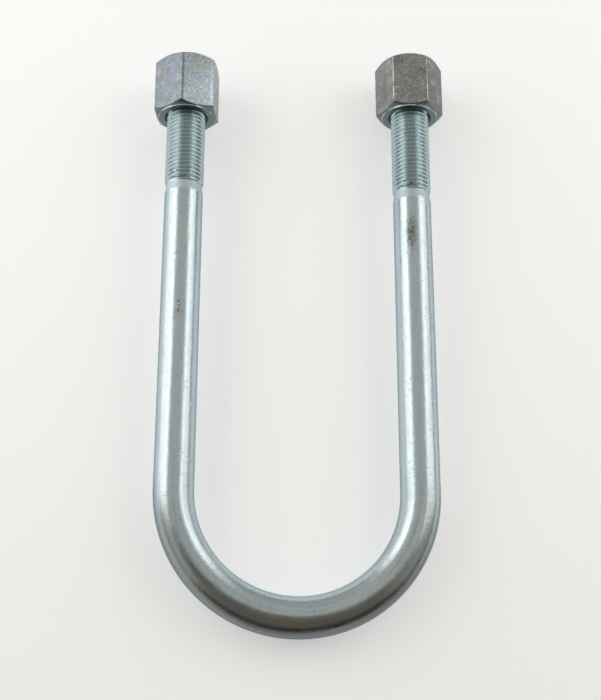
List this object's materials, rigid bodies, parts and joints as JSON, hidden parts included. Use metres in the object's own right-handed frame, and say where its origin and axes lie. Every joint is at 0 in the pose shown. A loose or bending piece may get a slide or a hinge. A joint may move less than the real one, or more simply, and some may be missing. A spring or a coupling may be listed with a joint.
{
  "type": "u-bolt with nuts",
  "caption": "Half-round U-bolt bent from zinc-plated round bar, threaded at both leg ends, each carrying a high hex nut with a raised bearing face.",
  "frame": {"origin": "centre of curvature of the half-round bend, in the middle plane of the U", "axes": "+Y along the legs from the bend towards the threaded ends; +X across from the left leg to the right leg; +Z square to the plane of the U, up when the bolt lies flat"},
  "size_m": [0.1679, 0.3333, 0.0388],
  "materials": {
    "bar_zinc": "bright zinc plate over drawn steel bar, darker and glossier where the bar was bent",
    "left_nut_zinc": "bright mottled zinc plate with a faint lavender tint",
    "right_nut_zinc": "duller, darker zinc plate with bright worn corner edges"
  },
  "bodies": {
    "u_bolt": {"u_bolt": "bar_zinc"},
    "left_nut": {"left_nut": "left_nut_zinc"},
    "right_nut": {"right_nut": "right_nut_zinc"}
  },
  "joints": [
    {"name": "left_nut_travel", "type": "slide", "parent": "u_bolt", "child": "left_nut", "axis": [0, 1, 0], "range_m": [-0.04, 0.045]},
    {"name": "right_nut_travel", "type": "slide", "parent": "u_bolt", "child": "right_nut", "axis": [0, 1, 0], "range_m": [-0.045, 0.04]}
  ]
}
